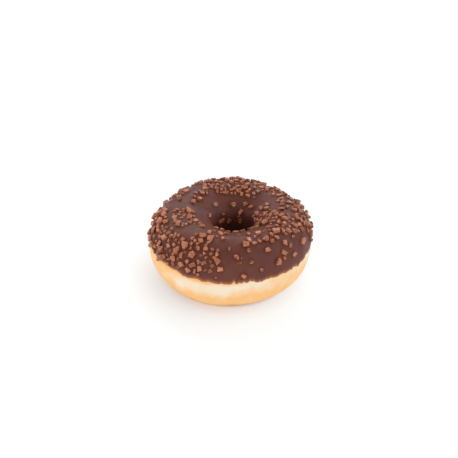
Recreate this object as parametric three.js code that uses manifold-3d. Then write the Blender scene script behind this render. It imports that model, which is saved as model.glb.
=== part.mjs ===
// A ring doughnut: a puffed golden ring of dough, dipped in dark chocolate icing over its upper
// half and strewn with chopped milk chocolate flakes. Millimetres, +Z up. It stands on its foot
// on z = 0, with the origin under the middle of its outline.

import * as THREE from 'three';
import { ConvexGeometry } from 'three/addons/geometries/ConvexGeometry.js';
import { mergeVertices } from 'three/addons/utils/BufferGeometryUtils.js';
import Module from 'manifold-3d';

const wasm = await Module();
wasm.setup();

// Driving dimensions of the iced ring, measured over the icing
const OUTER_RADIUS = 42.9;
const HOLE_RADIUS = 10.9;
const HOLE_SHIFT = 1.5;
const CREST_RADIUS = 26.1;
const BELLY_RADIUS = 25.2;
const WAIST_HEIGHT = 19.8;
const CROWN_HEIGHT = 18.4;
const BELLY_DEPTH = 20.2;

// How square the quarters of the ring's section are: 2 is an ellipse
const SQUARENESS = { outerCrown: 2.18, outerBelly: 2.06, holeBelly: 2.2 };

// The crown sinks like a funnel towards the hole and turns down into it over a tight lip
const HOLE_LIP_SQUARENESS = 7;
const FUNNEL = 0.36;
const FUNNEL_CURVE = 1.4;

// The ring is a little oval, its belly leans out on one side, and its skin is lumpy
const OVAL_AMOUNT = 0.042;
const OVAL_TOWARDS = degrees(44.5);
const LEAN_AMOUNT = 0.024;
const LEAN_TOWARDS = degrees(326.6);
const LUMP_DEPTH = 0.2;

// Slow waves: how many round the ring, their height, and where the first one peaks in degrees.
// Heights are shares of the crown's height and of the outline's radius, and degrees of the edges.
const CROWN_WAVES = [[1, 0.031, 276], [2, 0.010, 285], [3, 0.014, 335]];
const OUTLINE_WAVES = [[3, 0.004, 320], [5, 0.003, 240]];
const EDGE_WAVES = [[1, 0.6, 157], [2, 0.9, 68], [3, 0.7, 342], [5, 0.7, 343]];
const HOLE_EDGE_WAVES = [[2, 2.0, 61], [5, 1.4, 90]];

// Icing: its thickness over the crown, the gap kept to the dough, and where it ends
const ICING_THICKNESS = 0.88;
const ICING_GAP = 0.27;
const ICING_EDGE_ANGLE = degrees(8.6);
const ICING_HOLE_ANGLE = degrees(192);
const ICING_EDGE_ROUNDING = degrees(1.6);
const ICING_EDGE_INSET = 0.06;
const ICING_LEAST_INSET = 0.15;

// The dough's skin lies deeper under the icing than where it is bare, with a slow step between
const BARE_DOUGH_INSET = 0.35;
const OUTSIDE_STEP = [-4, 20].map(degrees);
const HOLE_STEP = [182, 206].map(degrees);

// Flakes: chopped chips of milk chocolate, and the smallest that is solid here
const FLAKE_LENGTHS = [2.1, 5.0];
const FLAKE_SUNK = 0.45;
const FLAKE_SPACING = 0.76;
const LONE_FLAKE_TIP = 20;
const TRIES_PER_FLAKE = 14;
const LEANING_TO_SHORT = 1.1;
const LEANING_TO_FLAT = 1.2;
const SMALLEST_SOLID_FLAKE = 3.1;
const SEED = 3018;

// A chip's shape, each number drawn between two shares of its length or of its thickness
const CHIP_WIDTH = [0.62, 0.96];
const CHIP_THICKNESS = [0.3, 0.54];
const CHIP_LEAST_THICKNESS = 0.2;
const CHIP_SIDES = [4, 5.7];
const CHIP_CORNER_TURN = [0.2, 0.8];
const CHIP_CORNER_REACH = [0.45, 0.57];
const CHIP_TAPER = [0.78, 1];
const CHIP_UNDERSIDE = [-0.5, -0.35];
const CHIP_TOP = [0.5, 0.22];

// How finely the ring is divided; what the icing hides has fewer rows
const SEGMENTS = 60;
const ICED_ANGLES = [17, 31, 46, 61, 76, 91, 103, 115, 125, 133, 141, 151, 165, 180].map(degrees);
const HIDDEN_ANGLES = [17, 38, 60, 82, 103, 120, 133, 146, 163, 180].map(degrees);
const OUTER_BELLY_ANGLES = [6, -5, -17, -31, -46, -62].map(degrees);
const HOLE_BELLY_ANGLES = [193, 208, 224, 241].map(degrees);

// Where the flakes fell: the stretch round the ring, the stretch over the section from the
// widest line at 0 over the crest at 90 to the hole at 180, how many, and how far they tip up
const PATCHES = [
  { round: [214, 233], over: [20, 66], count: 28, tip: 32 },
  { round: [231, 252], over: [18, 66], count: 32, tip: 32 },
  { round: [236, 252], over: [66, 82], count: 8, tip: 28 },
  { round: [250, 263], over: [26, 64], count: 12, tip: 26 },
  { round: [246, 264], over: [84, 106], count: 5, tip: 26 },
  { round: [192, 230], over: [14, 26], count: 10, tip: 28 },
  { round: [184, 214], over: [24, 42], count: 12, tip: 32 },
  { round: [182, 214], over: [42, 64], count: 18, tip: 32 },
  { round: [188, 218], over: [76, 98], count: 20, tip: 32 },
  { round: [188, 222], over: [98, 110], count: 12, tip: 30 },
  { round: [140, 180], over: [50, 82], count: 8, tip: 28 },
  { round: [128, 154], over: [90, 106], count: 8, tip: 28 },
  { round: [84, 120], over: [97, 114], count: 20, tip: 32 },
  { round: [58, 86], over: [98, 114], count: 19, tip: 32 },
  { round: [98, 130], over: [62, 96], count: 26, tip: 32 },
  { round: [60, 98], over: [62, 96], count: 27, tip: 32 },
  { round: [28, 62], over: [62, 90], count: 22, tip: 32 },
  { round: [6, 30], over: [60, 94], count: 19, tip: 34 },
  { round: [-10, 10], over: [44, 72], count: 12, tip: 34 },
  { round: [-34, -6], over: [52, 92], count: 25, tip: 30 },
  { round: [-34, 4], over: [98, 116], count: 25, tip: 32 },
  { round: [-34, 32], over: [113, 139], count: 28, tip: 30 },
  { round: [-72, -38], over: [66, 98], count: 12, tip: 28 },
  { round: [-120, -38], over: [117, 126], count: 8, tip: 22 },
  { round: [10, 44], over: [34, 60], count: 13, tip: 32 },
  { round: [-10, 12], over: [20, 44], count: 6, tip: 24 },
  { round: [44, 140], over: [26, 62], count: 36, tip: 26 },
  { round: [140, 176], over: [20, 52], count: 6, tip: 26 },
];

// Single flakes on the bare icing of the front and in the hole: round, over and length
const LONE_FLAKES = [
  [257, 98, 4.2], [262, 86, 3.2], [269, 66, 2.3], [275, 52, 3.8], [278, 42, 1.8], [264, 32, 4.2],
  [262, 18, 1.8], [280, 21, 3.5], [286, 41, 3.2], [293, 26, 2.5], [285, 61, 2.6], [283, 73, 4.2],
  [292, 73, 3.2], [288, 81, 4.2], [291, 96, 3.6], [279, 105, 2.6], [296, 86, 2.8], [302, 92, 4.0],
  [304, 75, 4.4], [301, 55, 3.6], [307, 30, 4.0], [314, 41, 4.2], [313, 32, 2.2], [320, 80, 5.0],
  [315, 69, 3.2], [319, 54, 3.8], [322, 46, 3.2], [323, 29, 3.3], [337, 38, 5.0], [229, 103, 3.6],
  [92, 131, 5.2], [70, 139, 4.2], [66, 127, 3.6], [51, 129, 3.4], [135, 126, 3.2], [102, 158, 4.2],
  [74, 148, 3.2], [122, 142, 2.6], [175, 131, 3.4], [164, 102, 3.4], [134, 153, 4.4],
  [68, 159, 3.4],
];

const SURFACES = {
  dough: new THREE.MeshStandardMaterial({ name: 'dough', color: 0xf0bf7c, roughness: 0.62, metalness: 0 }),
  icing: new THREE.MeshStandardMaterial({ name: 'icing', color: 0x4a2620, roughness: 0.42, metalness: 0 }),
};

function degrees(angle) {
  return THREE.MathUtils.degToRad(angle);
}

function signedPower(value, power) {
  return Math.sign(value) * Math.abs(value) ** power;
}

function waves(round, rows) {
  return rows.reduce((sum, [turns, height, phase]) => (
    sum + height * Math.cos(turns * round - degrees(phase))), 0);
}

// Park and Miller's generator, so that the same flakes fall every time
function seededRandom(seed) {
  let state = seed;
  return () => {
    state = (state * 48271) % 2147483647;
    return state / 2147483647;
  };
}

function drawn(random, [low, high]) {
  return low + (high - low) * random();
}

// How far the surface swells out of the true superellipse, less towards the foot
function lump(round, over) {
  const fade = THREE.MathUtils.clamp(1 + 1.2 * Math.sin(over), 0, 1);
  const slow = Math.sin(3 * round + 1.3 + Math.sin(over + 0.6));
  const quick = 0.6 * Math.sin(7 * round - 2 * over + 0.4) + 0.4 * Math.sin(4 * over - 5 * round);
  return LUMP_DEPTH * fade * (slow + quick);
}

// The section's outline, as shares of its half width and of its height
function sectionPoint(across, upward) {
  if (upward >= 0 && across < 0) {
    const lip = HOLE_LIP_SQUARENESS;
    const reach = (Math.abs(across) ** lip + Math.abs(upward) ** lip) ** (-1 / lip);
    const sinking = 1 - FUNNEL * Math.abs(across * reach) ** FUNNEL_CURVE;
    return [across * reach, upward * reach * sinking];
  }
  const belly = across >= 0 ? SQUARENESS.outerBelly : SQUARENESS.holeBelly;
  const power = 2 / (upward >= 0 ? SQUARENESS.outerCrown : belly);
  return [signedPower(across, power), signedPower(upward, power)];
}

// A point of the ring's skin: round is the angle about +Z, over is the angle over the section,
// and inset is how deep the point lies under the icing's outer surface
function skinPoint(round, over, inset) {
  const across = Math.cos(over);
  const upward = Math.sin(over);
  const [outwards, upwards] = sectionPoint(across, upward);
  const centre = upward >= 0 ? CREST_RADIUS : BELLY_RADIUS;
  const swell = lump(round, over) - inset;
  const holeRadius = HOLE_RADIUS + HOLE_SHIFT * Math.cos(round);
  const halfWidth = (across >= 0 ? OUTER_RADIUS - centre : centre - holeRadius) + swell;
  const level = 1 + waves(round, CROWN_WAVES);
  const rise = upward >= 0 ? (CROWN_HEIGHT + swell) * level : BELLY_DEPTH;
  const oval = 1 + OVAL_AMOUNT * Math.cos(2 * (round - OVAL_TOWARDS)) + waves(round, OUTLINE_WAVES);
  const leaning = THREE.MathUtils.clamp(-1.6 * upward, 0, 1);
  const lean = 1 + LEAN_AMOUNT * leaning * Math.cos(round - LEAN_TOWARDS);
  const radius = (centre + halfWidth * outwards) * oval * lean;
  const height = Math.max(WAIST_HEIGHT + rise * upwards, 0);
  return new THREE.Vector3(radius * Math.cos(round), radius * Math.sin(round), height);
}

// The section angle at which the belly meets the surface that it stands on
function footAngle(squareness) {
  return Math.asin((WAIST_HEIGHT / BELLY_DEPTH) ** (squareness / 2));
}

// How deep the dough's skin lies: bare below, under icing and gap above
function doughInset(over) {
  const outside = THREE.MathUtils.smoothstep(over, ...OUTSIDE_STEP);
  const inHole = 1 - THREE.MathUtils.smoothstep(over, ...HOLE_STEP);
  const deepest = ICING_THICKNESS + ICING_GAP;
  return BARE_DOUGH_INSET + (deepest - BARE_DOUGH_INSET) * Math.min(outside, inHole);
}

// Where the icing ends on the outside, with a wavy edge, and in the hole
function icingEdge(round) {
  return ICING_EDGE_ANGLE + degrees(waves(round, EDGE_WAVES));
}

function icingHoleEdge(round) {
  return ICING_HOLE_ANGLE + degrees(waves(round, HOLE_EDGE_WAVES));
}

// A closed ring of rows that run round the doughnut, each row at its own place over the section
function ringGeometry(rowCount, pointAt) {
  const positions = [];
  const index = [];
  const at = (segment, row) => (segment % SEGMENTS) * rowCount + (row % rowCount);
  for (let segment = 0; segment < SEGMENTS; segment += 1) {
    for (let row = 0; row < rowCount; row += 1) {
      positions.push(...pointAt((2 * Math.PI * segment) / SEGMENTS, row).toArray());
      index.push(at(segment, row), at(segment + 1, row), at(segment + 1, row + 1));
      index.push(at(segment, row), at(segment + 1, row + 1), at(segment, row + 1));
    }
  }
  const geometry = new THREE.BufferGeometry();
  geometry.setAttribute('position', new THREE.Float32BufferAttribute(positions, 3));
  geometry.setIndex(index);
  return geometry;
}

function doughGeometry() {
  const outerFoot = -footAngle(SQUARENESS.outerBelly);
  const holeFoot = Math.PI + footAngle(SQUARENESS.holeBelly);
  const outerBelly = [...OUTER_BELLY_ANGLES].reverse();
  const rows = [outerFoot, ...outerBelly, ...HIDDEN_ANGLES, ...HOLE_BELLY_ANGLES, holeFoot];
  return ringGeometry(rows.length, (round, row) => skinPoint(round, rows[row], doughInset(rows[row])));
}

// The icing's rows run over its outer surface to the hole, and back along its underside
function icingGeometry() {
  const under = (over) => Math.max(doughInset(over) - ICING_GAP, ICING_LEAST_INSET);
  const sectionRows = (round) => {
    const edge = icingEdge(round);
    const holeEdge = icingHoleEdge(round);
    return [
      [edge, under(edge)],
      [edge + ICING_EDGE_ROUNDING, ICING_EDGE_INSET],
      ...ICED_ANGLES.map((over) => [over, 0]),
      [holeEdge - 2 * ICING_EDGE_ROUNDING, ICING_EDGE_INSET],
      [holeEdge, under(holeEdge)],
      ...[...HIDDEN_ANGLES].reverse().map((over) => [over, under(over)]),
    ];
  };
  const rowCount = sectionRows(0).length;
  return ringGeometry(rowCount, (round, row) => skinPoint(round, ...sectionRows(round)[row]));
}

// The skin's outward direction, and its directions round the ring and over the section
function skinAxes(round, over) {
  const step = 0.001;
  const along = skinPoint(round + step, over, 0).sub(skinPoint(round - step, over, 0)).normalize();
  const up = skinPoint(round, over + step, 0).sub(skinPoint(round, over - step, 0));
  const out = new THREE.Vector3().crossVectors(along, up).normalize();
  return { along, up: new THREE.Vector3().crossVectors(out, along), out };
}

// One flake: the corners of a blocky chip with four or five sides and an uneven, narrower top.
// Every draw is made whether or not the flake finds room.
function drawFlake(random, round, over, length, tip) {
  const width = length * drawn(random, CHIP_WIDTH);
  const thickness = length * drawn(random, CHIP_THICKNESS) + CHIP_LEAST_THICKNESS;
  const spin = 2 * Math.PI * random();
  const lean = degrees(tip) * random() ** LEANING_TO_FLAT;
  const leanTowards = 2 * Math.PI * random();
  const sides = Math.floor(drawn(random, CHIP_SIDES));
  const corners = [];
  for (let side = 0; side < sides; side += 1) {
    const turn = (2 * Math.PI * (side + drawn(random, CHIP_CORNER_TURN))) / sides;
    const reach = drawn(random, CHIP_CORNER_REACH);
    const x = length * reach * Math.cos(turn);
    const y = width * reach * Math.sin(turn);
    const taper = drawn(random, CHIP_TAPER);
    corners.push(new THREE.Vector3(x, y, thickness * drawn(random, CHIP_UNDERSIDE)));
    corners.push(new THREE.Vector3(x * taper, y * taper, thickness * drawn(random, CHIP_TOP)));
  }
  return { round, over, length, spin, lean, leanTowards, corners };
}

function drawFlakes() {
  const random = seededRandom(SEED);
  const flakes = [];
  const addIfClear = (flake, spacing) => {
    const foot = skinPoint(flake.round, flake.over, 0);
    const crowded = flakes.some((other) => (
      other.foot.distanceTo(foot) < (spacing * (other.length + flake.length)) / 2));
    if (!crowded) {
      flakes.push({ ...flake, foot });
    }
    return !crowded;
  };
  for (const [round, over, length] of LONE_FLAKES) {
    addIfClear(drawFlake(random, degrees(round), degrees(over), length, LONE_FLAKE_TIP), 0);
  }
  const [shortest, longest] = FLAKE_LENGTHS;
  for (const patch of PATCHES) {
    let left = patch.count;
    for (let attempt = 0; attempt < TRIES_PER_FLAKE * patch.count && left > 0; attempt += 1) {
      const round = degrees(drawn(random, patch.round));
      const over = degrees(drawn(random, patch.over));
      const length = shortest + (longest - shortest) * random() ** LEANING_TO_SHORT;
      if (addIfClear(drawFlake(random, round, over, length, patch.tip), FLAKE_SPACING)) {
        left -= 1;
      }
    }
  }
  return flakes;
}

// The flake's corners at its place: spun and tipped, with its lowest corner sunk in the icing
function placedCorners(flake) {
  const { along, up, out } = skinAxes(flake.round, flake.over);
  const tipAxis = new THREE.Vector3(Math.cos(flake.leanTowards), Math.sin(flake.leanTowards), 0);
  const turned = flake.corners.map((corner) => corner.clone()
    .applyAxisAngle(new THREE.Vector3(0, 0, 1), flake.spin)
    .applyAxisAngle(tipAxis, flake.lean));
  const lowest = Math.min(...turned.map((corner) => corner.z));
  return turned.map((corner) => flake.foot.clone()
    .addScaledVector(along, corner.x)
    .addScaledVector(up, corner.y)
    .addScaledVector(out, corner.z - lowest - FLAKE_SUNK));
}

// A flake is solid here where it is large and lies wholly above the icing's edge
function isSolid(flake) {
  const aboveEdge = flake.over - icingEdge(flake.round);
  return flake.length >= SMALLEST_SOLID_FLAKE && aboveEdge > flake.length / 2 / CROWN_HEIGHT;
}

function toSolid(geometry) {
  const bare = geometry.clone();
  bare.deleteAttribute('normal');
  bare.deleteAttribute('uv');
  const merged = mergeVertices(bare, 1e-4);
  return new wasm.Manifold(new wasm.Mesh({
    numProp: 3,
    vertProperties: new Float32Array(merged.attributes.position.array),
    triVerts: new Uint32Array(merged.index.array),
  }));
}

function toGeometry(solid) {
  const mesh = solid.getMesh();
  const geometry = new THREE.BufferGeometry();
  geometry.setAttribute('position', new THREE.BufferAttribute(mesh.vertProperties, 3));
  geometry.setIndex(new THREE.BufferAttribute(mesh.triVerts, 1));
  return geometry;
}

// The icing with its larger flakes fused on
function icingWithFlakes() {
  let solid = toSolid(icingGeometry());
  for (const flake of drawFlakes().filter(isSolid)) {
    solid = solid.add(toSolid(new ConvexGeometry(placedCorners(flake))));
  }
  return toGeometry(solid);
}

function namedMesh(name, geometry) {
  const mesh = new THREE.Mesh(geometry, SURFACES[name]);
  mesh.name = name;
  return mesh;
}

const doughnut = new THREE.Group();
doughnut.add(namedMesh('dough', doughGeometry()));
doughnut.add(namedMesh('icing', icingWithFlakes()));

export default doughnut;
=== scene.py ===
"""A chocolate doughnut: a puffed golden ring of fried dough, its upper half dipped in dark
chocolate icing and strewn with chopped flakes of milk chocolate.

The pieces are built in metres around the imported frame. Places on the ring are given by two
angles: around, which turns about +Z from +X, and over, which runs over the ring's section from
its widest line at 0 to the crest at 90 degrees and the hole at 180 degrees.
"""

import math

import bmesh
import bpy
import numpy as np
from bpy.props import FloatProperty, FloatVectorProperty, IntProperty, PointerProperty
from bpy.types import Operator, Panel, PropertyGroup
from mathutils import Matrix, Vector, kdtree, noise


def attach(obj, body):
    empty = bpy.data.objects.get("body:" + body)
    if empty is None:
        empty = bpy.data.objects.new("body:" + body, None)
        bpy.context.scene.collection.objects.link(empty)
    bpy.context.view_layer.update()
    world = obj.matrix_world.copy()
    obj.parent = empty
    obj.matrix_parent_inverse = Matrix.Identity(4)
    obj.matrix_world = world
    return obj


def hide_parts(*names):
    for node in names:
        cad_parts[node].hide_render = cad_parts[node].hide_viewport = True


bl_info = {
    "name": "Chocolate Doughnut",
    "version": (1, 0, 0),
    "blender": (4, 5, 0),
    "location": "3D View > Sidebar > Doughnut",
    "description": "Builds an iced ring doughnut strewn with chocolate flakes, and its stage",
    "category": "Add Mesh",
}

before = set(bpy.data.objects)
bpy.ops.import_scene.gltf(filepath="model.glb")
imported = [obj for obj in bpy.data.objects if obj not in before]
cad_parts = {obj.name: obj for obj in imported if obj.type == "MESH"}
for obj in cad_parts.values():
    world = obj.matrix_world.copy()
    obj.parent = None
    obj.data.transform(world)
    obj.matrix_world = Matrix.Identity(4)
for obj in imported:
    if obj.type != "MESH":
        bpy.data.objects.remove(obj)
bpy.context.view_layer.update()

MM = 0.001

# How finely the ring is divided: round the ring, and over its section
DOUGH_SEGMENTS = 384
DOUGH_ROWS = 176
ICING_SEGMENTS = 864
ICING_OUTER_ROWS = 92
ICING_INNER_ROWS = 14
ICING_NOSE_ROWS = 4

# Slow waves: how many round the ring, their height, and where the first one peaks in degrees.
# Heights are shares of the crown's height and of the outline's radius, and degrees of the edges.
CROWN_WAVES = ((1, 0.031, 276), (2, 0.010, 285), (3, 0.014, 335))
OUTLINE_WAVES = ((3, 0.004, 320), (5, 0.003, 240))
EDGE_WAVES = ((1, 0.6, 157), (2, 0.9, 68), (3, 0.7, 342), (5, 0.7, 343), (9, 0.25, 263))
HOLE_EDGE_WAVES = ((2, 2.0, 61), (5, 1.4, 90))

# Stretches where the crust beside the icing stayed cream: the middle, how far on each side it
# is full, where it has faded out, and how creamy it is
CREAM_STRETCHES = ((266, 14, 52, 1.0), (318, 14, 46, 0.6), (348, 6, 26, 1.0), (80, 30, 80, 1.0))

# Where the flakes fell: the stretch around, the stretch over, how many, and how far they tip
FLAKE_PATCHES = (
    ((214, 233), (20, 66), 28, 32),
    ((231, 252), (18, 66), 32, 32),
    ((236, 252), (66, 82), 8, 28),
    ((250, 263), (26, 64), 12, 26),
    ((246, 264), (84, 106), 5, 26),
    ((192, 230), (14, 26), 10, 28),
    ((184, 214), (24, 42), 12, 32),
    ((182, 214), (42, 64), 18, 32),
    ((188, 218), (76, 98), 20, 32),
    ((188, 222), (98, 110), 12, 30),
    ((140, 180), (50, 82), 8, 28),
    ((128, 154), (90, 106), 8, 28),
    ((84, 120), (97, 114), 20, 32),
    ((58, 86), (98, 114), 19, 32),
    ((98, 130), (62, 96), 26, 32),
    ((60, 98), (62, 96), 27, 32),
    ((28, 62), (62, 90), 22, 32),
    ((6, 30), (60, 94), 19, 34),
    ((-10, 10), (44, 72), 12, 34),
    ((-34, -6), (52, 92), 25, 30),
    ((-34, 4), (98, 116), 25, 32),
    ((-34, 32), (113, 139), 28, 30),
    ((-72, -38), (66, 98), 12, 28),
    ((-120, -38), (117, 126), 8, 22),
    ((10, 44), (34, 60), 13, 32),
    ((-10, 12), (20, 44), 6, 24),
    ((44, 140), (26, 62), 36, 26),
    ((140, 176), (20, 52), 6, 26),
)

# Single flakes on the bare icing of the front and in the hole: around, over and length in mm
LONE_FLAKES = (
    (257, 98, 4.2), (262, 86, 3.2), (269, 66, 2.3), (275, 52, 3.8), (278, 42, 1.8),
    (264, 32, 4.2), (262, 18, 1.8), (280, 21, 3.5), (286, 41, 3.2), (293, 26, 2.5),
    (285, 61, 2.6), (283, 73, 4.2), (292, 73, 3.2), (288, 81, 4.2), (291, 96, 3.6),
    (279, 105, 2.6), (296, 86, 2.8), (302, 92, 4.0), (304, 75, 4.4), (301, 55, 3.6),
    (307, 30, 4.0), (314, 41, 4.2), (313, 32, 2.2), (320, 80, 5.0), (315, 69, 3.2),
    (319, 54, 3.8), (322, 46, 3.2), (323, 29, 3.3), (337, 38, 5.0), (229, 103, 3.6),
    (92, 131, 5.2), (70, 139, 4.2), (66, 127, 3.6), (51, 129, 3.4), (135, 126, 3.2),
    (102, 158, 4.2), (74, 148, 3.2), (122, 142, 2.6), (175, 131, 3.4), (164, 102, 3.4),
    (134, 153, 4.4), (68, 159, 3.4),
)
LONE_FLAKE_TIP = 20

# How often a flake of a patch may be thrown before the next one is tried
THROWS_PER_FLAKE = 14

# Crumbs: how far they tip, the lowest and highest place over the section in degrees, how deep
# they lie in the icing, and how wide their chipped rims are
CRUMB_TIP = 40
CRUMB_STRETCH = (14, 160)
CRUMB_SUNK = 0.12 * MM
CRUMB_RIM = 0.03 * MM

# Unevenness of the skins: its depth, the width of its dimples, and the start of its noise
CRUST_DIMPLES = ((0.10 * MM, 9 * MM, 4.2), (0.035 * MM, 2.4 * MM, 9.6))
ICING_DIMPLES = (0.09 * MM, 5 * MM, 2.7)

# The dough's bare skin lies this deep under the icing's outer surface
BARE_INSET = 0.35 * MM


class RingSizes(PropertyGroup):
    """The iced ring's sizes, measured over the icing."""

    outer_radius: FloatProperty(
        name="Outer radius", description="Mean radius of the widest line",
        default=0.0429, min=0.03, max=0.06, precision=4, unit="LENGTH")
    hole_radius: FloatProperty(
        name="Hole radius", description="Mean radius of the hole's narrowest line",
        default=0.0109, min=0.003, max=0.02, precision=4, unit="LENGTH")
    hole_shift: FloatProperty(
        name="Hole shift", description="How far the hole lies off the middle, towards +X",
        default=0.0015, min=-0.005, max=0.005, precision=4, unit="LENGTH")
    crest_radius: FloatProperty(
        name="Crest radius", description="Radius of the ring's highest line",
        default=0.0261, min=0.01, max=0.04, precision=4, unit="LENGTH")
    belly_radius: FloatProperty(
        name="Belly radius", description="Radius of the ring's lowest line",
        default=0.0252, min=0.01, max=0.04, precision=4, unit="LENGTH")
    waist_height: FloatProperty(
        name="Waist height", description="Height of the widest line above the floor",
        default=0.0198, min=0.01, max=0.03, precision=4, unit="LENGTH")
    crown_height: FloatProperty(
        name="Crown height", description="Height of the crest above the widest line",
        default=0.0184, min=0.01, max=0.03, precision=4, unit="LENGTH")
    belly_depth: FloatProperty(
        name="Belly depth", description="Depth of the belly before the floor flattens it",
        default=0.0202, min=0.01, max=0.03, precision=4, unit="LENGTH")
    outer_crown_squareness: FloatProperty(
        name="Outer crown squareness", description="2 is an ellipse, more is squarer",
        default=2.18, min=1.5, max=4)
    hole_lip_squareness: FloatProperty(
        name="Hole lip squareness", description="How sharply the crown turns down into the hole",
        default=7.0, min=2, max=12)
    funnel: FloatProperty(
        name="Funnel", description="How far the crown sinks towards the hole",
        default=0.36, min=0, max=0.8)
    funnel_curve: FloatProperty(
        name="Funnel curve", description="1 is a straight cone, more starts level at the crest",
        default=1.4, min=1, max=4)
    outer_belly_squareness: FloatProperty(
        name="Outer belly squareness", description="2 is an ellipse, more is squarer",
        default=2.06, min=1.5, max=4)
    hole_belly_squareness: FloatProperty(
        name="Hole belly squareness", description="2 is an ellipse, more is squarer",
        default=2.2, min=1.5, max=4)
    oval_amount: FloatProperty(
        name="Oval amount", description="How far the ring is stretched along its long axis",
        default=0.042, min=0, max=0.2, precision=3)
    oval_towards: FloatProperty(
        name="Oval direction", description="Angle of the ring's long axis",
        default=math.radians(44.5), subtype="ANGLE")
    lean_amount: FloatProperty(
        name="Belly lean", description="How far the belly leans out of the middle",
        default=0.024, min=0, max=0.1, precision=3)
    lean_towards: FloatProperty(
        name="Lean direction", description="The side that the belly leans out to",
        default=math.radians(326.6), subtype="ANGLE")
    lump_depth: FloatProperty(
        name="Lump depth", description="How lumpy the skin is",
        default=0.0002, min=0, max=0.002, precision=5, unit="LENGTH")


class IcingSizes(PropertyGroup):
    """The icing's thickness and where it ends."""

    thickness: FloatProperty(
        name="Crown thickness", description="From the icing's surface to the dough's skin",
        default=0.00115, min=0.0004, max=0.003, precision=5, unit="LENGTH")
    edge_thickness: FloatProperty(
        name="Edge thickness", description="How proud of the dough the icing's edge stands",
        default=0.00036, min=0.0001, max=0.001, precision=5, unit="LENGTH")
    edge_angle: FloatProperty(
        name="Edge angle", description="Where the icing ends on the outside",
        default=math.radians(8.6), subtype="ANGLE")
    edge_wave: FloatProperty(
        name="Edge waves", description="How far the icing's edge rises and falls round the ring",
        default=1.0, min=0, max=3)
    hole_angle: FloatProperty(
        name="Hole edge angle", description="Where the icing ends in the hole",
        default=math.radians(192), subtype="ANGLE")
    notch_depth: FloatProperty(
        name="Notch depth", description="Depth of the ragged notches of the edge",
        default=0.0011, min=0, max=0.002, precision=5, unit="LENGTH")
    welling: FloatProperty(
        name="Welling", description="How far the icing wells up round a flake",
        default=0.00022, min=0, max=0.001, precision=5, unit="LENGTH")


class FlakeSizes(PropertyGroup):
    """The sizes of the strewn flakes and crumbs."""

    shortest: FloatProperty(
        name="Shortest flake", description="Length of the smallest flakes",
        default=0.0021, min=0.0005, max=0.004, precision=4, unit="LENGTH")
    longest: FloatProperty(
        name="Longest flake", description="Length of the largest flakes",
        default=0.0050, min=0.001, max=0.008, precision=4, unit="LENGTH")
    sunk: FloatProperty(
        name="Sunk", description="How deep a flake's lowest corner lies in the icing",
        default=0.00045, min=0, max=0.002, precision=5, unit="LENGTH")
    spacing: FloatProperty(
        name="Spacing", description="Closest two flakes may lie, as a share of their length",
        default=0.76, min=0, max=2)
    seed: IntProperty(
        name="Seed", description="Start of the random draws", default=3018, min=1)
    crumbs: IntProperty(
        name="Crumbs", description="How many crumbs lie among the flakes",
        default=140, min=0, max=2000)
    smallest_crumb: FloatProperty(
        name="Smallest crumb", description="Width of the smallest crumbs",
        default=0.00035, min=0.0001, max=0.002, precision=5, unit="LENGTH")
    largest_crumb: FloatProperty(
        name="Largest crumb", description="Width of the largest crumbs",
        default=0.00095, min=0.0002, max=0.003, precision=5, unit="LENGTH")


def colour_property(name, description, default):
    """A colour that a user may change, in linear light."""
    return FloatVectorProperty(
        name=name, description=description, subtype="COLOR", size=3, min=0, max=1, default=default)


class Finishes(PropertyGroup):
    """The colours of the doughnut, in linear light."""

    cream: colour_property("Cream band", "Pale dough beside the icing", (0.79, 0.67, 0.51))
    golden: colour_property("Golden crust", "Fried dough of the belly", (0.825, 0.464, 0.174))
    # Browned crust, also used as painted shade along the underside's lower edge
    browned: colour_property("Browned crust", "Darker patches and the underside",
                             (0.58, 0.29, 0.12))
    icing: colour_property("Icing", "Dark chocolate icing", (0.116, 0.0375, 0.0275))
    thin_icing: colour_property("Thin icing", "Icing where it runs out over the dough",
                                (0.36, 0.13, 0.05))
    # Painted shade: the icing darkened in the crannies beside the flakes
    painted_shade_icing: colour_property("Shaded icing", "Icing in the crannies beside the flakes",
                                  (0.098, 0.023, 0.008))
    flake: colour_property("Flake", "Milk chocolate of the flakes", (0.42, 0.140, 0.068))
    flake_dark: colour_property("Dark flake", "The darkest of the flakes", (0.23, 0.064, 0.028))
    # The rims' colour: partly scuffed broken chocolate, partly a painted highlight
    flake_rim_scuff_and_highlight: colour_property("Flake rim", "Broken edges of the flakes", (0.51, 0.22, 0.12))


class StageSettings(PropertyGroup):
    """The floor, the sky and the camera."""

    elevation: FloatProperty(
        name="Camera elevation", description="Height of the camera above the horizon",
        default=math.radians(35.4), subtype="ANGLE")
    roll: FloatProperty(
        name="Camera roll", description="How far the camera is rolled",
        default=math.radians(4.0), subtype="ANGLE")
    distance: FloatProperty(
        name="Camera distance", description="From the camera to the middle of the doughnut",
        default=0.344, min=0.1, max=3, unit="LENGTH")
    floor: colour_property("Floor", "The plain white floor", (0.45, 0.45, 0.45))
    # Painted light: the floor glows round the doughnut, though it is no lamp
    painted_floor_glow: FloatProperty(
        name="Floor glow", description="Light that comes up through the floor round the doughnut",
        default=0.59, min=0, max=2)
    # Painted shadow: the side on which the floor's glow is held down most
    painted_shadow_towards: FloatProperty(
        name="Shadow direction", description="The side on which the floor stays darkest",
        default=math.radians(200), subtype="ANGLE")
    low_sky: FloatVectorProperty(
        name="Low sky", description="Brightness near the horizon: right, back, left and front",
        size=4, min=0, max=20, default=(1.0, 0.1, 1.72, 1.7))
    high_sky: FloatVectorProperty(
        name="High sky", description="Brightness half way up: right, back, left and front",
        size=4, min=0, max=20, default=(1.95, 3.65, 1.45, 1.12))
    top_sky: FloatProperty(
        name="Top sky", description="Brightness straight overhead",
        default=0.42, min=0, max=20)


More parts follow.
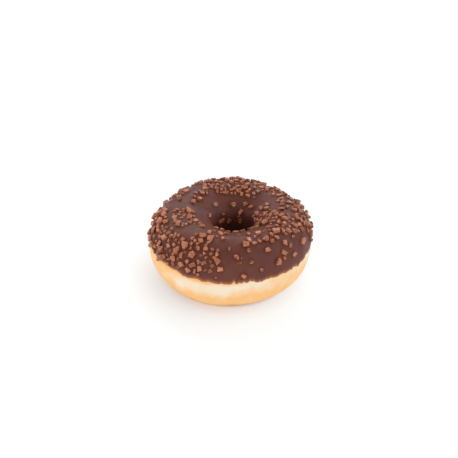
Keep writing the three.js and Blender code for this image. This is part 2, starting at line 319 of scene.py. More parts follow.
# The camera's frame in pixels, where the middle of the doughnut's widest line lies in it, and the
# width of the sensor behind it in mm
FRAME_PIXELS = 458
FOCAL_PIXELS = 644.7
MIDDLE_PIXEL = (231.04, 238.12)
SENSOR_WIDTH = 36.0

# The floor reaches this far, and lies this little below the foot
FLOOR_REACH = 3.0
FLOOR_GAP = 0.05 * MM

# The floor's painted glow, by distance from its middle: where it starts and is full, how far
# and how deep the painted shadow reaches on its light and on its dark side, and where the
# painted warm bounce light beside the dough fades out
GLOW_STARTS, GLOW_FULL = 0.0275, 0.0345
SHADOW_STARTS = 0.034
LIGHT_SIDE_END, LIGHT_SIDE_SHARE = 0.046, 0.94
DARK_SIDE_END, DARK_SIDE_SHARE = 0.062, 0.68
WARM_FULL, WARM_GONE = 0.034, 0.040
WARM_TOWARDS = math.radians(232)
# Tints of the floor's painted glow: cool away from the dough, warm as painted bounce light beside it
COOL_TINT = (0.95, 0.985, 1.0)
WARM_TINT = (1.0, 0.84, 0.70)

# Where the low sky turns into the high sky, and that into the top sky, as sines of the elevation
HIGH_SKY_FROM, HIGH_SKY_FULL = 0.27, 0.43
TOP_SKY_FROM, TOP_SKY_FULL = 0.67, 0.83


def signed_power(value, power):
    """Raises the size of value to power and keeps its sign."""
    return np.sign(value) * np.abs(value) ** power


def smoothstep(value, low, high):
    """0 below low, 1 above high, and an S curve between."""
    share = np.clip((value - low) / (high - low), 0.0, 1.0)
    return share * share * (3.0 - 2.0 * share)


def waves(around, rows):
    """Adds up the slow waves of one of the tables above."""
    return sum(height * np.cos(turns * around - math.radians(phase))
               for turns, height, phase in rows)


def lump(ring, around, over):
    """How far the skin swells out of the true superellipse, less towards the foot."""
    fade = np.clip(1 + 1.2 * np.sin(over), 0, 1)
    slow = np.sin(3 * around + 1.3 + np.sin(over + 0.6))
    quick = 0.6 * np.sin(7 * around - 2 * over + 0.4) + 0.4 * np.sin(4 * over - 5 * around)
    return ring.lump_depth * fade * (slow + quick)


def skin_point(ring, around, over, inset):
    """A point of the ring's skin; inset is its depth under the icing's outer surface."""
    across, upward = np.cos(over), np.sin(over)
    upper, outer = upward >= 0, across >= 0
    centre = np.where(upper, ring.crest_radius, ring.belly_radius)
    belly = np.where(outer, ring.outer_belly_squareness, ring.hole_belly_squareness)
    power = 2 / np.where(upper, ring.outer_crown_squareness, belly)
    lip = ring.hole_lip_squareness
    lip_reach = (np.abs(across) ** lip + np.abs(upward) ** lip) ** (-1 / lip)
    funnel = 1 - ring.funnel * np.abs(across * lip_reach) ** ring.funnel_curve
    in_crown = upper & ~outer
    outwards = np.where(in_crown, across * lip_reach, signed_power(across, power))
    upwards = np.where(in_crown, upward * lip_reach * funnel, signed_power(upward, power))
    swell = lump(ring, around, over) - inset
    hole_radius = ring.hole_radius + ring.hole_shift * np.cos(around)
    half_width = np.where(outer, ring.outer_radius - centre, centre - hole_radius) + swell
    level = 1 + waves(around, CROWN_WAVES)
    rise = np.where(upper, (ring.crown_height + swell) * level, ring.belly_depth)
    oval = (1 + ring.oval_amount * np.cos(2 * (around - ring.oval_towards))
            + waves(around, OUTLINE_WAVES))
    leaning = np.clip(-1.6 * upward, 0, 1)
    lean = 1 + ring.lean_amount * leaning * np.cos(around - ring.lean_towards)
    radius = (centre + half_width * outwards) * oval * lean
    height = np.maximum(ring.waist_height + rise * upwards, 0)
    return np.stack([radius * np.cos(around), radius * np.sin(around), height], axis=-1)


def skin_axes(ring, around, over):
    """The skin's directions along the ring, up over the section, and outwards."""
    step = 0.001
    along = skin_point(ring, around + step, over, 0) - skin_point(ring, around - step, over, 0)
    along = along / np.linalg.norm(along, axis=-1, keepdims=True)
    up = skin_point(ring, around, over + step, 0) - skin_point(ring, around, over - step, 0)
    out = np.cross(along, up)
    out = out / np.linalg.norm(out, axis=-1, keepdims=True)
    return along, np.cross(out, along), out


def dough_inset(icing, over):
    """How deep the dough's skin lies: bare below, under the icing above."""
    outside = smoothstep(over, math.radians(2), math.radians(24))
    in_hole = 1 - smoothstep(over, math.radians(176), math.radians(200))
    return BARE_INSET + (icing.thickness - BARE_INSET) * np.minimum(outside, in_hole)


def icing_edge(icing, around):
    """Where the icing ends on the outside: dipped a little aslant, with a wavy edge."""
    return icing.edge_angle + icing.edge_wave * np.radians(waves(around, EDGE_WAVES))


def icing_hole_edge(icing, around):
    """Where the icing ends in the hole."""
    return icing.hole_angle + np.radians(waves(around, HOLE_EDGE_WAVES))


def ring_noise(around, cycles, seed):
    """Noise that closes on itself round the ring, at about this many cycles a turn."""
    reach = cycles / (2 * math.pi)
    return np.array([
        noise.noise(Vector((reach * math.cos(turn), reach * math.sin(turn), seed)))
        for turn in np.ravel(around)
    ]).reshape(np.shape(around))


def notches(icing, ring, around):
    """The ragged line of the icing's edge, as an angle: most ragged at the front right."""
    towards_front = np.cos(around - math.radians(292))
    raggedness = 0.6 + 0.4 * smoothstep(towards_front, 0.4, 0.9)
    coarse = ring_noise(around, 60, 3.1)
    fine = ring_noise(around, 170, 8.4)
    spikes = np.clip(1 - 4 * np.abs(ring_noise(around, 80, 5.7)), 0, 1) ** 2
    tall = smoothstep(ring_noise(around, 45, 2.3), -0.15, 0.3)
    depth = icing.notch_depth * raggedness * (0.9 * coarse + 0.7 * fine + spikes * tall)
    return depth / ring.crown_height


def noise_offsets(points, outwards, depth, scale, seed):
    """Moves points in or out by smooth noise of the given depth and scale."""
    shift = Vector((seed, seed * 0.7, -seed))
    amounts = np.array([
        noise.fractal(Vector(point) / scale + shift, 0.9, 2.1, 3)
        for point in points.reshape(-1, 3)
    ])
    return points + depth * amounts.reshape(points.shape[:-1])[..., None] * outwards


def ring_mesh(name, points):
    """A closed mesh from points laid out by segments round the ring and rows over it."""
    segments, rows = points.shape[:2]
    index = np.arange(segments * rows).reshape(segments, rows)
    ahead = np.roll(index, -1, axis=0)
    faces = np.stack([index, ahead, np.roll(ahead, -1, axis=1), np.roll(index, -1, axis=1)], axis=-1)
    mesh = bpy.data.meshes.new(name)
    mesh.from_pydata(points.reshape(-1, 3).tolist(), [], faces.reshape(-1, 4).tolist())
    mesh.shade_smooth()
    mesh.validate()
    return mesh


def store_values(mesh, name, values, domain="POINT"):
    """Keeps one number a point, or a face corner, for the material to read."""
    attribute = mesh.attributes.new(name, "FLOAT", domain)
    attribute.data.foreach_set("value", np.asarray(values, dtype=np.float32).ravel())


def add_piece(name, mesh, material, node):
    """Links the piece, gives it its finish, and hides the CAD node it stands for."""
    piece = bpy.data.objects.new(name, mesh)
    bpy.context.scene.collection.objects.link(piece)
    mesh.materials.append(material)
    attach(piece, "root")
    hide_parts(node)
    return piece


def new_material(name):
    """A material with its tree emptied to a shader and its output."""
    material = bpy.data.materials.new(name)
    material.use_nodes = True
    tree = material.node_tree
    return material, tree, tree.nodes["Principled BSDF"]


def add_node(tree, kind, settings=None, **inputs):
    """Adds a node, with its settings, and its inputs as values or as sockets to link."""
    node = tree.nodes.new(kind)
    for key, value in (settings or {}).items():
        setattr(node, key, value)
    for key, value in inputs.items():
        connect(tree, value, node.inputs[key.replace("_", " ")])
    return node


def connect(tree, value, socket):
    """Links value to socket where it is a socket itself, and otherwise sets it."""
    if isinstance(value, bpy.types.NodeSocket):
        tree.links.new(value, socket)
    else:
        socket.default_value = value


def opaque(colour):
    """A colour with full alpha."""
    return (*colour, 1.0)


def texture_noise(tree, scale, detail=3.0, roughness=0.55):
    """The value of a noise texture over the object, at this many cycles a metre."""
    place = add_node(tree, "ShaderNodeTexCoord").outputs["Object"]
    texture = add_node(tree, "ShaderNodeTexNoise", Vector=place, Scale=scale, Detail=detail,
                       Roughness=roughness)
    return texture.outputs["Fac"]


def mapped(tree, value, low, high, to_low, to_high):
    """Maps value from one range to another, with soft ends."""
    node = add_node(tree, "ShaderNodeMapRange", {"interpolation_type": "SMOOTHSTEP"}, Value=value)
    for socket, number in (("From Min", low), ("From Max", high), ("To Min", to_low),
                           ("To Max", to_high)):
        node.inputs[socket].default_value = number
    return node.outputs["Result"]


def blended(tree, share, first, second, blend="MIX"):
    """Mixes two colours."""
    node = add_node(tree, "ShaderNodeMix", {"data_type": "RGBA", "blend_type": blend})
    connect(tree, share, node.inputs["Factor"])
    connect(tree, first, node.inputs["A"])
    connect(tree, second, node.inputs["B"])
    mixed = [socket for socket in node.outputs if socket.type == "RGBA"]
    return mixed[0]


def sum_of(tree, *values):
    """Adds values up."""
    total = values[0]
    for value in values[1:]:
        node = add_node(tree, "ShaderNodeMath", {"operation": "ADD"})
        connect(tree, total, node.inputs[0])
        connect(tree, value, node.inputs[1])
        total = node.outputs["Value"]
    return total


def product_of(tree, first, second):
    """Multiplies two values."""
    node = add_node(tree, "ShaderNodeMath", {"operation": "MULTIPLY"})
    connect(tree, first, node.inputs[0])
    connect(tree, second, node.inputs[1])
    return node.outputs["Value"]


def weighted_sum(tree, values, weights):
    """Adds values up, each times its weight."""
    return sum_of(tree, *(product_of(tree, value, weight)
                          for value, weight in zip(values, weights)))


def mixed_value(tree, share, first, second):
    """Blends from first to second."""
    node = add_node(tree, "ShaderNodeMix", {"data_type": "FLOAT"})
    for name, value in (("Factor", share), ("A", first), ("B", second)):
        connect(tree, value, node.inputs[name])
    return node.outputs["Result"]


def side_lobe(tree, towards, heading):
    """The square of the cosine from the heading on its own side, and 0 on the far side."""
    level = add_node(tree, "ShaderNodeVectorMath", {"operation": "MULTIPLY"})
    connect(tree, towards, level.inputs[0])
    level.inputs[1].default_value = (1, 1, 0)
    flat = add_node(tree, "ShaderNodeVectorMath", {"operation": "NORMALIZE"})
    connect(tree, level.outputs["Vector"], flat.inputs[0])
    facing = add_node(tree, "ShaderNodeVectorMath", {"operation": "DOT_PRODUCT"})
    connect(tree, flat.outputs["Vector"], facing.inputs[0])
    facing.inputs[1].default_value = (math.cos(heading), math.sin(heading), 0)
    near = add_node(tree, "ShaderNodeMath", {"operation": "MAXIMUM"})
    connect(tree, facing.outputs["Value"], near.inputs[0])
    near.inputs[1].default_value = 0
    return product_of(tree, near.outputs["Value"], near.outputs["Value"])


def attribute_value(tree, name):
    """The number that the mesh keeps under this name."""
    return add_node(tree, "ShaderNodeAttribute", {"attribute_name": name}).outputs["Fac"]


def crust_material(finishes):
    """Fried dough: cream beside the icing, golden on the belly, browned in patches, and browned
    below, partly as painted shade along the lower edge.
    """
    material, tree, shader = new_material("fried_crust")
    fried_and_shade = attribute_value(tree, "fried_and_shade")
    mottle = mapped(tree, texture_noise(tree, 120, 3.0), 0.32, 0.68, -0.2, 0.2)
    fine = mapped(tree, texture_noise(tree, 900, 3.0), 0.3, 0.7, -0.07, 0.07)
    depth = sum_of(tree, fried_and_shade, mottle, fine)
    golden = mapped(tree, depth, -0.05, 1.05, 0.0, 1.0)
    colour = blended(tree, golden, opaque(finishes.cream), opaque(finishes.golden))
    browned = mapped(tree, depth, 1.0, 2.2, 0.0, 1.0)
    colour = blended(tree, browned, colour, opaque(finishes.browned))
    connect(tree, colour, shader.inputs["Base Color"])
    connect(tree, mapped(tree, texture_noise(tree, 500), 0.3, 0.7, 0.52, 0.68),
            shader.inputs["Roughness"])
    shader.inputs["Specular IOR Level"].default_value = 0.3
    shader.inputs["Subsurface Weight"].default_value = 0.15
    shader.inputs["Subsurface Radius"].default_value = (1.0, 0.5, 0.25)
    shader.inputs["Subsurface Scale"].default_value = 0.002
    wrinkles = add_node(tree, "ShaderNodeBump", Strength=0.25, Distance=0.0003,
                        Height=sum_of(tree, texture_noise(tree, 1500, 5.0), fine))
    connect(tree, wrinkles.outputs["Normal"], shader.inputs["Normal"])
    return material


def icing_material(finishes):
    """Set dark chocolate icing: satin, a little uneven, thin and warmer at its edge, and darkened
    as painted shade beside the flakes and deep in the hole.
    """
    material, tree, shader = new_material("dark_icing")
    cloudy = mapped(tree, texture_noise(tree, 160, 4.0), 0.3, 0.7, 0.90, 1.10)
    # Painted shade: the icing darkened deep in the hole
    in_hole = mapped(tree, attribute_value(tree, "in_hole"), 0.0, 1.0, 1.0, 0.7)
    dark = add_node(tree, "ShaderNodeVectorMath", {"operation": "SCALE"},
                    Scale=product_of(tree, cloudy, in_hole))
    dark.inputs[0].default_value = finishes.icing
    thin = mapped(tree, attribute_value(tree, "thin"), 0.05, 0.7, 0.0, 1.0)
    # Painted shade: the icing darkens towards the flakes, where shade falls between them
    shade_beside_flake = mapped(tree, attribute_value(tree, "shade_beside_flake"), 0.08, 0.9, 0.0, 0.7)
    colour = blended(tree, shade_beside_flake, dark.outputs["Vector"], opaque(finishes.painted_shade_icing))
    colour = blended(tree, thin, colour, opaque(finishes.thin_icing))
    connect(tree, colour, shader.inputs["Base Color"])
    connect(tree, mapped(tree, texture_noise(tree, 300, 4.0), 0.3, 0.7, 0.36, 0.52),
            shader.inputs["Roughness"])
    shader.inputs["Specular IOR Level"].default_value = 0.13
    uneven = add_node(tree, "ShaderNodeBump", Strength=0.3, Distance=0.0003,
                      Height=texture_noise(tree, 900, 4.0))
    connect(tree, uneven.outputs["Normal"], shader.inputs["Normal"])
    return material


def flake_material(finishes):
    """Chopped milk chocolate: each flake its own tone, paler along its chipped rims, partly scuffed
    broken edges and partly a painted highlight, and darker at its foot as painted shade."""
    material, tree, shader = new_material("milk_chocolate")
    tone = attribute_value(tree, "tone")
    colour = blended(tree, tone, opaque(finishes.flake_dark), opaque(finishes.flake))
    # Paler rims: partly scuffed broken edges, partly a painted highlight where the edges catch light
    rim_scuff_and_highlight = product_of(tree, attribute_value(tree, "rim"),
                         mapped(tree, texture_noise(tree, 800), 0.42, 0.62, 0.0, 1.0))
    colour = blended(tree, rim_scuff_and_highlight, colour, opaque(finishes.flake_rim_scuff_and_highlight))
    chalky = mapped(tree, texture_noise(tree, 1800, 3.0), 0.35, 0.65, 0.78, 1.22)
    # Painted shade: each flake darker the lower it lies, where it meets the icing
    painted_foot_shade = mapped(tree, attribute_value(tree, "lift"), 0.0, 1.1, 0.6, 1.0)
    speckled = add_node(tree, "ShaderNodeVectorMath", {"operation": "SCALE"},
                        Scale=product_of(tree, chalky, painted_foot_shade))
    connect(tree, colour, speckled.inputs[0])
    connect(tree, speckled.outputs["Vector"], shader.inputs["Base Color"])
    connect(tree, mapped(tree, texture_noise(tree, 700), 0.3, 0.7, 0.22, 0.45),
            shader.inputs["Roughness"])
    shader.inputs["Specular IOR Level"].default_value = 0.32
    rough = add_node(tree, "ShaderNodeBump", Strength=0.35, Distance=0.0002,
                     Height=texture_noise(tree, 2600, 3.0))
    connect(tree, rough.outputs["Normal"], shader.inputs["Normal"])
    return material


def seeded_random(seed):
    """Park and Miller's generator, so that the same flakes fall every time."""
    state = seed

    def draw():
        nonlocal state
        state = (state * 48271) % 2147483647
        return state / 2147483647

    return draw


def draw_flake(draw, around, over, length, tip):
    """One flake: a blocky chip with four or five sides and an uneven, narrower top.

    Every draw is made whether or not the flake finds room.
    """
    width = length * (0.62 + 0.34 * draw())
    thickness = length * (0.3 + 0.24 * draw()) + 0.2 * MM
    spin = 2 * math.pi * draw()
    lean = math.radians(tip) * draw() ** 1.2
    lean_towards = 2 * math.pi * draw()
    sides = 4 + int(1.7 * draw())
    corners = []
    for side in range(sides):
        turn = 2 * math.pi * (side + 0.5 + 0.6 * (draw() - 0.5)) / sides
        reach = 0.5 * (0.9 + 0.24 * draw())
        x, y = length * reach * math.cos(turn), width * reach * math.sin(turn)
        top = 0.78 + 0.22 * draw()
        corners.append(Vector((x, y, -thickness * (0.5 - 0.15 * draw()))))
        corners.append(Vector((x * top, y * top, thickness * (0.5 - 0.28 * draw()))))
    return {"around": around, "over": over, "length": length, "spin": spin, "lean": lean,
            "lean_towards": lean_towards, "corners": corners}


def draw_flakes(ring, sizes):
    """All the flakes in their places, the single ones first and then patch by patch."""
    draw = seeded_random(sizes.seed)
    flakes = []
    feet = np.empty((0, 3))
    lengths = np.empty(0)

    def add_if_clear(flake, spacing):
        nonlocal feet, lengths
        foot = skin_point(ring, flake["around"], flake["over"], 0)
        reach = spacing * (lengths + flake["length"]) / 2
        if np.any(np.linalg.norm(feet - foot, axis=1) < reach):
            return False
        flakes.append({**flake, "foot": Vector(foot)})
        feet = np.vstack([feet, foot])
        lengths = np.append(lengths, flake["length"])
        return True

    for around, over, length in LONE_FLAKES:
        add_if_clear(draw_flake(draw, math.radians(around), math.radians(over), length * MM,
                                LONE_FLAKE_TIP), 0)
    spread = sizes.longest - sizes.shortest
    for (first, last), (lowest, highest), count, tip in FLAKE_PATCHES:
        left = count
        for _ in range(THROWS_PER_FLAKE * count):
            if left == 0:
                break
            around = math.radians(first + (last - first) * draw())
            over = math.radians(lowest + (highest - lowest) * draw())
            length = sizes.shortest + spread * draw() ** 1.1
            if add_if_clear(draw_flake(draw, around, over, length, tip), sizes.spacing):
                left -= 1
    return flakes


def chip_seat(ring, flake):
    """Where a chip lies: its foot, with axes along the ring, up over it, and outwards."""
    axes = Matrix([Vector(axis) for axis in skin_axes(ring, flake["around"], flake["over"])])
    return Matrix.Translation(flake["foot"]) @ axes.transposed().to_4x4()


def chipped_hull(flake, seat, sunk, rim_width):
    """The chip spun, tipped and sunk a little in the icing, with its edges chipped.

    Gives its vertices, its faces, which faces are rim, and how high each vertex lies in mm.
    """
    tip_axis = Vector((math.cos(flake["lean_towards"]), math.sin(flake["lean_towards"]), 0))
    turn = Matrix.Rotation(flake["lean"], 3, tip_axis) @ Matrix.Rotation(flake["spin"], 3, "Z")
    turned = [turn @ corner for corner in flake["corners"]]
    lowest = min(corner.z for corner in turned)
    slab = bmesh.new()
    for corner in turned:
        slab.verts.new(corner - Vector((0, 0, lowest + sunk)))
    hull = bmesh.ops.convex_hull(slab, input=slab.verts[:])
    inside = [item for item in hull["geom_interior"] if isinstance(item, bmesh.types.BMVert)]
    bmesh.ops.delete(slab, geom=inside, context="VERTS")
    bmesh.ops.dissolve_limit(slab, angle_limit=math.radians(7), verts=slab.verts[:],
                             edges=slab.edges[:])
    chips = bmesh.ops.bevel(slab, geom=slab.edges[:] + slab.verts[:], offset=rim_width,
                            segments=2, profile=0.6, affect="EDGES", clamp_overlap=True)
    rims = set(chips["faces"])
    slab.verts.ensure_lookup_table()
    slab.verts.index_update()
    vertices = [seat @ vertex.co for vertex in slab.verts]
    heights = [vertex.co.z / MM for vertex in slab.verts]
    faces = [[vertex.index for vertex in face.verts] for face in slab.faces]
    is_rim = [face in rims for face in slab.faces]
    slab.free()
    return vertices, faces, is_rim, heights


def joined_hulls(name, hulls):
    """One mesh of many small hulls, with the tone, rim and height that their finish reads."""
    vertices, faces, tones, rims, lifts = [], [], [], [], []
    for (points, sides, is_rim, heights), tone in hulls:
        start = len(vertices)
        vertices.extend(points)
        lifts.extend(heights)
        for side, rim in zip(sides, is_rim):
            faces.append([start + index for index in side])
            tones.extend([tone] * len(side))
            rims.extend([1.0 if rim else 0.0] * len(side))
    mesh = bpy.data.meshes.new(name)
    mesh.from_pydata(vertices, [], faces)
    store_values(mesh, "tone", tones, "CORNER")
    store_values(mesh, "rim", rims, "CORNER")
    store_values(mesh, "lift", lifts)
    return mesh


def drawn_crumbs(ring, sizes, flakes):
    """Crumbs broken off the flakes, lying beside them."""
    draw = seeded_random(sizes.seed + 7)
    lowest, highest = np.radians(CRUMB_STRETCH)
    crumbs = []
    while len(crumbs) < sizes.crumbs:
        flake = flakes[int(draw() * len(flakes))]
        reach = flake["length"] * (0.55 + 1.1 * draw())
        heading = 2 * math.pi * draw()
        around = flake["around"] + reach * math.cos(heading) / (0.8 * ring.outer_radius)
        over = flake["over"] + reach * math.sin(heading) / ring.crown_height
        width = sizes.smallest_crumb + (sizes.largest_crumb - sizes.smallest_crumb) * draw() ** 2
        crumb = draw_flake(draw, around, over, width, CRUMB_TIP)
        if lowest < over < highest:
            crumb["foot"] = Vector(skin_point(ring, around, over, 0))
            crumbs.append(crumb)
    return crumbs


class DOUGHNUT_OT_dough(Operator):
    """Forms the ring of fried dough"""

    bl_idname = "doughnut.form_dough"
    bl_label = "Form the Dough"

    def execute(self, context):
        scene = context.scene
        ring, icing = scene.doughnut_ring, scene.doughnut_icing
        around = np.linspace(0, 2 * math.pi, DOUGH_SEGMENTS, endpoint=False)[:, None]
        over = np.linspace(-math.pi / 2, 1.5 * math.pi, DOUGH_ROWS, endpoint=False)[None, :]
        around, over = np.broadcast_arrays(around, over)
        points = skin_point(ring, around, over, dough_inset(icing, over))
        standing = smoothstep(points[..., 2], 0.2 * MM, 2.5 * MM)
        outwards = skin_axes(ring, around, over)[2] * standing[..., None]
        for dimples in CRUST_DIMPLES:
            points = noise_offsets(points, outwards, *dimples)
        mesh = ring_mesh("dough_ring", points)
        store_values(mesh, "fried_and_shade", self.fried_and_shade(icing, around, over, points))
        add_piece("dough_ring", mesh, crust_material(scene.doughnut_finishes), "dough")
        return {"FINISHED"}

    @staticmethod
    def fried_and_shade(icing, around, over, points):
        """How deeply the crust is fried: 0 cream, 1 golden, 2 browned. The browning below is partly
        painted shade along the lower edge.
        """
        blotch_width = 13 * MM
        below = np.where(np.cos(over) >= 0, -over, over - math.pi)
        below = np.degrees(np.where(below > math.pi / 2, math.pi / 2, below))
        wander = np.array([
            noise.fractal(Vector(point) / blotch_width, 0.8, 2.0, 3)
            for point in points.reshape(-1, 3)
        ]).reshape(below.shape)
        # Cream stretches, in a band that fades out 25 degrees below the widest line
        creamy = np.zeros_like(around)
        for middle, full, gone, share in CREAM_STRETCHES:
            off = np.degrees(np.arccos(np.cos(around - math.radians(middle))))
            stretch = share * (1 - smoothstep(off + 10 * wander, full, gone))
            creamy = np.maximum(creamy, stretch)
        band = 1 - smoothstep(below + 6 * wander, -5, 25)
        # On the left a narrow strip beside the icing fried golden
        from_icing = below + np.degrees(icing_edge(icing, around))
        oiled = 1 - smoothstep(from_icing + 4 * wander, -1, 9)
        oiled = oiled * smoothstep(np.cos(around - math.radians(200)), -0.15, 0.4)
        golden = 1 - creamy * band * (1 - 0.68 * oiled) + 0.5 * oiled ** 3
        # The underside is browned, partly as painted shade along the lower edge, and the browning
        # reaches highest on the left, under the floor's painted shadow
        foot = 53 - 9 * np.clip(np.cos(around - math.radians(205)), 0, 1)
        browned = smoothstep(below + 5 * wander, foot - 18, foot)
        return golden + 1.1 * browned


class DOUGHNUT_OT_icing(Operator):
    """Dips the upper half in chocolate icing"""

    bl_idname = "doughnut.dip_in_icing"
    bl_label = "Dip in Icing"

    def execute(self, context):
        scene = context.scene
        ring, icing = scene.doughnut_ring, scene.doughnut_icing
        around = np.linspace(0, 2 * math.pi, ICING_SEGMENTS, endpoint=False)[:, None]
        edge = icing_edge(icing, around) + notches(icing, ring, around)
        hole_edge = icing_hole_edge(icing, around)
        rows, insets, thin = self.section(icing, edge, hole_edge)
        around = np.broadcast_to(around, rows.shape)
        points = skin_point(ring, around, rows, insets)
        outer = np.zeros(rows.shape[1], dtype=bool)
        outer[:ICING_NOSE_ROWS * 2 + ICING_OUTER_ROWS] = True
        outwards = skin_axes(ring, around, rows)[2]
        wells = self.welling(ring, icing, scene.doughnut_flakes, points, outer)
        points = points + outwards * wells[..., None]
        uneven = outwards * outer[None, :, None]
        points = noise_offsets(points, uneven, *ICING_DIMPLES)
        mesh = ring_mesh("icing_glaze", points)
        store_values(mesh, "thin", thin)
        # How much painted shade lies beside the flakes, taken from the icing's welling round them
        store_values(mesh, "shade_beside_flake", wells / icing.welling)
        # Where the painted shade of the hole's icing falls
        store_values(mesh, "in_hole", smoothstep(rows, math.radians(135), math.radians(170)))
        add_piece("icing_glaze", mesh, icing_material(scene.doughnut_finishes), "icing")
        return {"FINISHED"}

    @staticmethod
    def section(icing, edge, hole_edge):
        """The rows over the section: nose, outer surface, nose in the hole, and underside."""
        buried = 0.06 * MM
        nose = math.radians(0.55)
        settle = math.radians(6)
        crowding = 0.10

        def surface_inset(over):
            outside = np.exp(-np.clip(over - edge, 0, None) / settle)
            inside = np.exp(-np.clip(hole_edge - over, 0, None) / settle)
            sunk = dough_inset(icing, edge) - icing.edge_thickness
            sunk_in_hole = dough_inset(icing, hole_edge) - icing.edge_thickness
            return sunk * outside + sunk_in_hole * inside

        def nose_rows(end, inwards):
            turns = np.linspace(0, math.pi / 2, ICING_NOSE_ROWS, endpoint=False)[None, :]
            over = end + inwards * nose * (1 - np.cos(turns))
            low = dough_inset(icing, end) + buried
            high = surface_inset(end + inwards * nose)
            return over, low + (high - low) * np.sin(turns)

        outer_nose, outer_depths = nose_rows(edge, 1)
        hole_nose, hole_depths = nose_rows(hole_edge, -1)
        share = np.linspace(0, 1, ICING_OUTER_ROWS)[None, :]
        share = share - crowding * np.sin(2 * math.pi * share)
        top = (edge + nose) + (hole_edge - edge - 2 * nose) * share
        back = np.linspace(0, 1, ICING_INNER_ROWS + 2)[None, 1:-1]
        under = hole_edge + (edge - hole_edge) * back
        rows = np.concatenate([outer_nose, top, hole_nose[:, ::-1], under], axis=1)
        insets = np.concatenate([
            outer_depths, surface_inset(top), hole_depths[:, ::-1],
            dough_inset(icing, under) + buried], axis=1)
        from_edge = np.minimum(rows - edge, hole_edge - rows)
        thin = np.exp(-np.clip(from_edge, 0, None) / math.radians(3.2))
        return rows, insets, thin

    @staticmethod
    def welling(ring, icing, sizes, points, outer):
        """How far the icing wells up round the flakes that sank into it."""
        heights = np.zeros(points.shape[:2])
        places = np.argwhere(np.broadcast_to(outer, heights.shape))
        tree = kdtree.KDTree(len(places))
        for number, (segment, row) in enumerate(places):
            tree.insert(points[segment, row], number)
        tree.balance()
        for flake in draw_flakes(ring, sizes):
            reach = 0.55 * flake["length"] + 0.35 * MM
            for _, number, distance in tree.find_range(flake["foot"], 2 * reach):
                segment, row = places[number]
                swell = icing.welling * math.exp(-(distance / reach) ** 4)
                heights[segment, row] = max(heights[segment, row], swell)
        return heights


class DOUGHNUT_OT_flakes(Operator):
    """Strews the flakes of milk chocolate"""

    bl_idname = "doughnut.strew_flakes"
    bl_label = "Strew Flakes"

    def execute(self, context):
        scene = context.scene
        ring, sizes = scene.doughnut_ring, scene.doughnut_flakes
        draw = seeded_random(sizes.seed + 3)
        hulls = []
        for flake in draw_flakes(ring, sizes):
            rim = (0.03 + 0.04 * draw()) * flake["length"]
            chip = chipped_hull(flake, chip_seat(ring, flake), sizes.sunk, rim)
            hulls.append((chip, draw()))
        mesh = joined_hulls("milk_chocolate_flakes", hulls)
        add_piece("milk_chocolate_flakes", mesh, flake_material(scene.doughnut_finishes),
                  "icing")
        return {"FINISHED"}


class DOUGHNUT_OT_crumbs(Operator):
    """Drops the crumbs that broke off the flakes"""

    bl_idname = "doughnut.drop_crumbs"
    bl_label = "Drop Crumbs"

    def execute(self, context):
        scene = context.scene
        ring, sizes = scene.doughnut_ring, scene.doughnut_flakes
        draw = seeded_random(sizes.seed + 5)
        hulls = []
        for crumb in drawn_crumbs(ring, sizes, draw_flakes(ring, sizes)):
            chip = chipped_hull(crumb, chip_seat(ring, crumb), CRUMB_SUNK, CRUMB_RIM)
            hulls.append((chip, draw()))
        mesh = joined_hulls("chocolate_crumbs", hulls)
        add_piece("chocolate_crumbs", mesh, flake_material(scene.doughnut_finishes),
                  "icing")
        return {"FINISHED"}


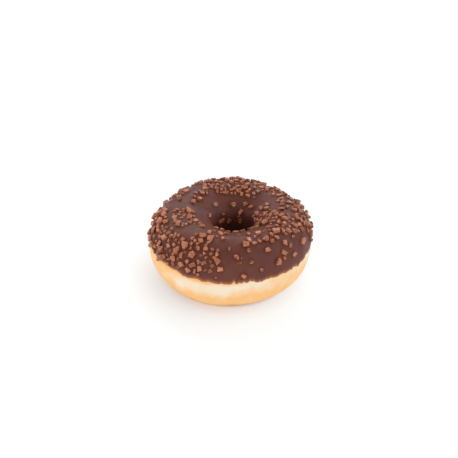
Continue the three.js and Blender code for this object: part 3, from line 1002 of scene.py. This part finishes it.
class DOUGHNUT_OT_stage(Operator):
    """Sets up the floor, the sky and the camera"""

    bl_idname = "doughnut.set_stage"
    bl_label = "Set the Stage"

    def execute(self, context):
        scene = context.scene
        stage = scene.doughnut_stage
        self.add_floor(scene, stage)
        self.add_sky(scene, stage)
        self.add_camera(scene, stage, scene.doughnut_ring.waist_height)
        scene.view_settings.view_transform = "Standard"
        return {"FINISHED"}

    @staticmethod
    def add_floor(scene, stage):
        mesh = bpy.data.meshes.new("floor")
        corners = [(x * FLOOR_REACH, y * FLOOR_REACH, 0)
                   for x, y in ((-1, -1), (1, -1), (1, 1), (-1, 1))]
        mesh.from_pydata(corners, [], [(0, 1, 2, 3)])
        floor = bpy.data.objects.new("floor", mesh)
        floor.location.z = -FLOOR_GAP
        scene.collection.objects.link(floor)
        material, tree, shader = new_material("white_floor")
        shader.inputs["Base Color"].default_value = opaque(stage.floor)
        shader.inputs["Roughness"].default_value = 0.9
        shader.inputs["Specular IOR Level"].default_value = 0.0
        place = add_node(tree, "ShaderNodeTexCoord").outputs["Object"]
        reach = add_node(tree, "ShaderNodeVectorMath", {"operation": "LENGTH"})
        connect(tree, place, reach.inputs[0])
        radius = reach.outputs["Value"]
        # Painted contact shade: no glow under the foot, rising beside it
        beside = mapped(tree, radius, GLOW_STARTS, GLOW_FULL, 0.0, 1.0)
        # Painted shadow, reaching furthest on its own side
        painted_floor_shadow = mixed_value(
            tree, side_lobe(tree, place, stage.painted_shadow_towards),
            mapped(tree, radius, SHADOW_STARTS, LIGHT_SIDE_END, LIGHT_SIDE_SHARE, 1.0),
            mapped(tree, radius, SHADOW_STARTS, DARK_SIDE_END, DARK_SIDE_SHARE, 1.0))
        glow = product_of(tree, product_of(tree, beside, painted_floor_shadow), stage.painted_floor_glow)
        # Painted warm bounce light from the dough, on the shadow side
        painted_warm_bounce = product_of(tree, mapped(tree, radius, WARM_FULL, WARM_GONE, 1.0, 0.0),
                            side_lobe(tree, place, WARM_TOWARDS))
        tint = blended(tree, painted_warm_bounce, opaque(COOL_TINT), opaque(WARM_TINT))
        connect(tree, tint, shader.inputs["Emission Color"])
        connect(tree, glow, shader.inputs["Emission Strength"])
        mesh.materials.append(material)

    @staticmethod
    def add_sky(scene, stage):
        world = bpy.data.worlds.new("white_studio")
        world.use_nodes = True
        tree = world.node_tree
        towards = add_node(tree, "ShaderNodeTexCoord").outputs["Generated"]
        height = add_node(tree, "ShaderNodeSeparateXYZ", Vector=towards).outputs["Z"]
        lobes = [side_lobe(tree, towards, side * math.pi / 2) for side in range(4)]
        low = weighted_sum(tree, lobes, stage.low_sky)
        high = weighted_sum(tree, lobes, stage.high_sky)
        is_high = mapped(tree, height, HIGH_SKY_FROM, HIGH_SKY_FULL, 0, 1)
        is_top = mapped(tree, height, TOP_SKY_FROM, TOP_SKY_FULL, 0, 1)
        brightness = mixed_value(tree, is_high, low, high)
        brightness = mixed_value(tree, is_top, brightness, stage.top_sky)
        background = tree.nodes["Background"]
        background.inputs["Color"].default_value = (1.0, 1.0, 1.0, 1.0)
        connect(tree, brightness, background.inputs["Strength"])
        scene.world = world

    @staticmethod
    def add_camera(scene, stage, middle_height):
        level, tilt = math.cos(stage.elevation), math.sin(stage.elevation)
        away, right, up = Vector((0, -level, tilt)), Vector((1, 0, 0)), Vector((0, tilt, level))
        turn, drop = math.cos(stage.roll), math.sin(stage.roll)
        frame_right = right * turn + up * drop
        frame_up = up * turn - right * drop
        pixel = stage.distance / FOCAL_PIXELS
        middle = Vector((0, 0, middle_height))
        aim = (middle - frame_right * pixel * (MIDDLE_PIXEL[0] - FRAME_PIXELS / 2)
               + frame_up * pixel * (MIDDLE_PIXEL[1] - FRAME_PIXELS / 2))
        place = middle + away * stage.distance
        back = (place - aim).normalized()
        side = frame_up.cross(back).normalized()
        view = Matrix((side, back.cross(side), back)).transposed()
        camera = bpy.data.objects.new("camera", bpy.data.cameras.new("camera"))
        camera.data.sensor_width = SENSOR_WIDTH
        camera.data.lens = FOCAL_PIXELS * SENSOR_WIDTH / FRAME_PIXELS
        camera.data.clip_start = 0.01
        camera.matrix_world = Matrix.Translation(place) @ view.to_4x4()
        scene.collection.objects.link(camera)
        scene.camera = camera


class DOUGHNUT_PT_maker(Panel):
    """Lists the steps and the sizes of the doughnut"""

    bl_label = "Chocolate Doughnut"
    bl_idname = "DOUGHNUT_PT_maker"
    bl_space_type = "VIEW_3D"
    bl_region_type = "UI"
    bl_category = "Doughnut"

    def draw(self, context):
        layout = self.layout
        for step in STEPS:
            layout.operator(step.bl_idname)
        for name, (group, label) in SETTINGS.items():
            layout.label(text=label)
            for key in group.__annotations__:
                layout.prop(getattr(context.scene, name), key)


SETTINGS = {
    "doughnut_ring": (RingSizes, "Ring"),
    "doughnut_icing": (IcingSizes, "Icing"),
    "doughnut_flakes": (FlakeSizes, "Flakes and crumbs"),
    "doughnut_finishes": (Finishes, "Colours"),
    "doughnut_stage": (StageSettings, "Stage"),
}
STEPS = (DOUGHNUT_OT_dough, DOUGHNUT_OT_icing, DOUGHNUT_OT_flakes, DOUGHNUT_OT_crumbs,
         DOUGHNUT_OT_stage)


def register():
    """Registers the settings, the steps and the panel."""
    for name, (group, _) in SETTINGS.items():
        bpy.utils.register_class(group)
        setattr(bpy.types.Scene, name, PointerProperty(type=group))
    for step in STEPS:
        bpy.utils.register_class(step)
    bpy.utils.register_class(DOUGHNUT_PT_maker)


def unregister():
    """Takes the panel, the steps and the settings away again."""
    bpy.utils.unregister_class(DOUGHNUT_PT_maker)
    for step in reversed(STEPS):
        bpy.utils.unregister_class(step)
    for name, (group, _) in reversed(list(SETTINGS.items())):
        delattr(bpy.types.Scene, name)
        bpy.utils.unregister_class(group)


def main():
    """Makes the doughnut and its stage."""
    register()
    bpy.ops.doughnut.form_dough()
    bpy.ops.doughnut.dip_in_icing()
    bpy.ops.doughnut.strew_flakes()
    bpy.ops.doughnut.drop_crumbs()
    bpy.ops.doughnut.set_stage()


if __name__ == "__main__":
    main()
